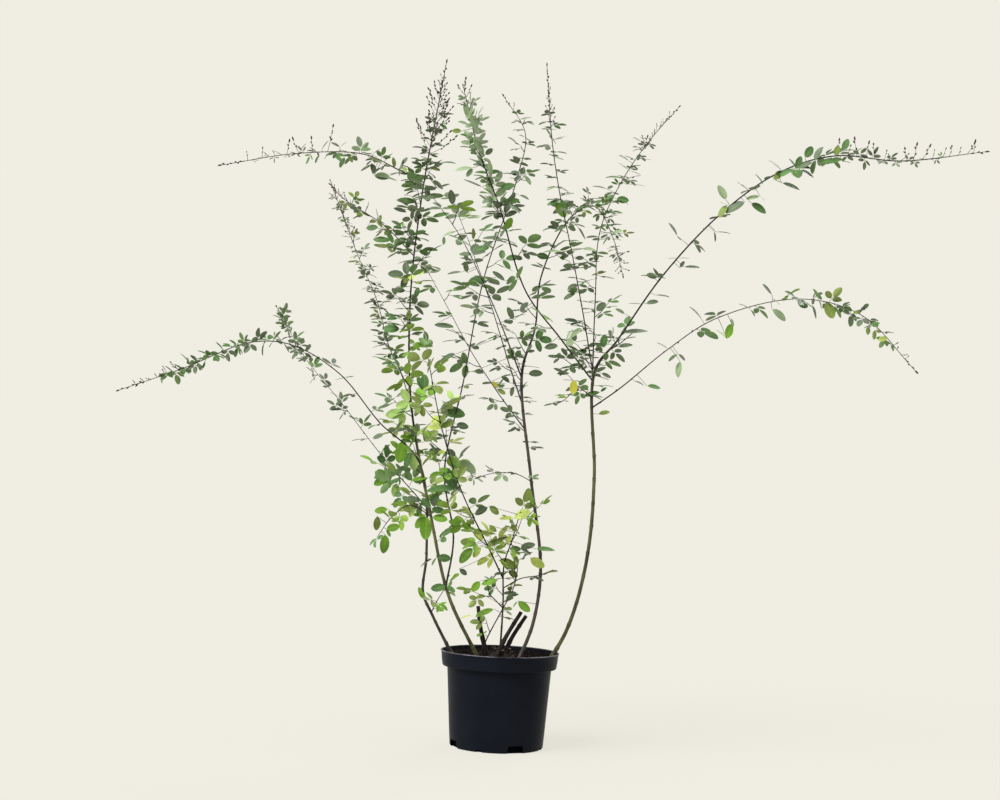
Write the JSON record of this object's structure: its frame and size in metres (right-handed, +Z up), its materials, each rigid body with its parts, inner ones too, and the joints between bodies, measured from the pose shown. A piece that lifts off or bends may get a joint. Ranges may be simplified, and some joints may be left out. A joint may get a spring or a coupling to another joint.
{
  "type": "potted thunberg bush clover",
  "caption": "Tall arching shrub in a round tapered pot: leafy canes rise from a woody crown and bend outward, with trifoliate leaves and spent flower spikes at the tips.",
  "frame": {"origin": "the middle of the pot's flat underside, on the floor that it stands on", "axes": "+Z up; +X along the plant's widest spread, to the right in the picture; -Y towards the viewer"},
  "size_m": [1.4916, 0.9044, 1.3463],
  "materials": {
    "pot_plastic": "black injection-moulded plastic with a slight sheen",
    "compost": "dark brown, crumbly and matt",
    "bark": "thin olive-brown bark, finely ridged",
    "old_wood": "weathered, almost black, rough",
    "leaves_green": "matt mid-green leaves",
    "leaves_bright": "fresh bright green leaves"
  },
  "bodies": {
    "root": {"pot": "pot_plastic", "soil": "compost", "left_cane": "bark", "tall_cane": "bark", "centre_cane": "bark", "middle_cane": "bark", "right_cane": "bark", "left_arch_bough": "bark", "middle_arch_bough": "bark", "right_high_bough": "bark", "left_wisp_bough": "bark", "left_back_bough": "bark", "diagonal_bough": "bark", "inner_bough": "bark", "up_left_bough": "bark", "middle_back_bough": "bark", "low_left_bough": "bark", "right_low_bough": "bark", "right_lean_bough": "bark", "cross_left_bough": "bark", "slender_bough": "bark", "stub_left": "old_wood", "stub_right_front": "old_wood", "stub_right_back": "old_wood", "root_crown": "old_wood", "left_arch_leaves_1": "leaves_green", "left_arch_leaves_2": "leaves_green", "tall_leaves_1": "leaves_green", "tall_leaves_2": "leaves_green", "tall_leaves_3": "leaves_green", "tall_top": "leaves_green", "middle_arch_leaves_1": "leaves_green", "middle_arch_leaves_2": "leaves_green", "right_high_leaves_1": "leaves_green", "right_high_leaves_2": "leaves_green", "left_wisp_leaves": "leaves_green", "left_back_leaves": "leaves_green", "diagonal_leaves_1": "leaves_green", "diagonal_leaves_2": "leaves_green", "left_high_leaves_1": "leaves_green", "left_high_leaves_2": "leaves_green", "left_mid_leaves": "leaves_green", "up_left_leaves": "leaves_green", "middle_back_leaves": "leaves_green", "low_left_leaves": "leaves_green", "small_arch_leaves": "leaves_green", "right_low_leaves_1": "leaves_green", "right_low_leaves_2": "leaves_green", "right_lean_leaves": "leaves_green", "cross_left_leaves_1": "leaves_green", "cross_left_leaves_2": "leaves_green", "slender_leaves": "leaves_green", "fork_leaves": "leaves_green", "centre_leaves": "leaves_bright", "left_droop_leaves": "leaves_bright", "foot_leaves": "leaves_bright", "inner_leaves_1": "leaves_bright", "inner_leaves_2": "leaves_bright"}
  },
  "joints": []
}
